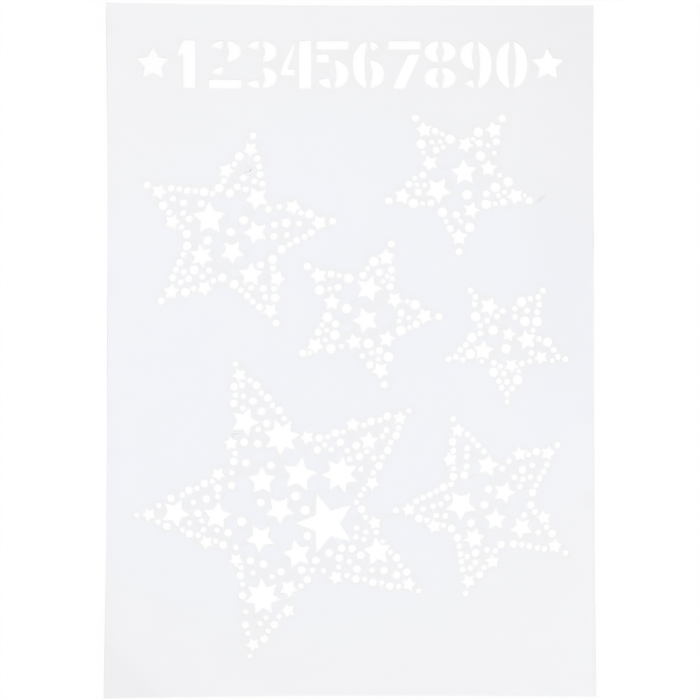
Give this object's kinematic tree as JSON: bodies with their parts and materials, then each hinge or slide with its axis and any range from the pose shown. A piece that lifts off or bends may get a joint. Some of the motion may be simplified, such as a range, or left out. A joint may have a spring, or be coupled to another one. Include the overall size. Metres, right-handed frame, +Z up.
{
  "type": "star stencil",
  "caption": "Flat drawing stencil of thin milky plastic film, with large stars made of mini stars and dots cut right through it and a row of numerals along the top.",
  "frame": {"origin": "centre of the sheet's underside, on the surface it lies on", "axes": "+Z up out of the face the numerals read from, +Y along the long side towards the row of numerals, +X along the short side"},
  "size_m": [0.21, 0.297, 0.0005],
  "materials": {
    "film": "satin, milky and translucent"
  },
  "bodies": {
    "root": {"stencil_sheet": "film"}
  },
  "joints": []
}
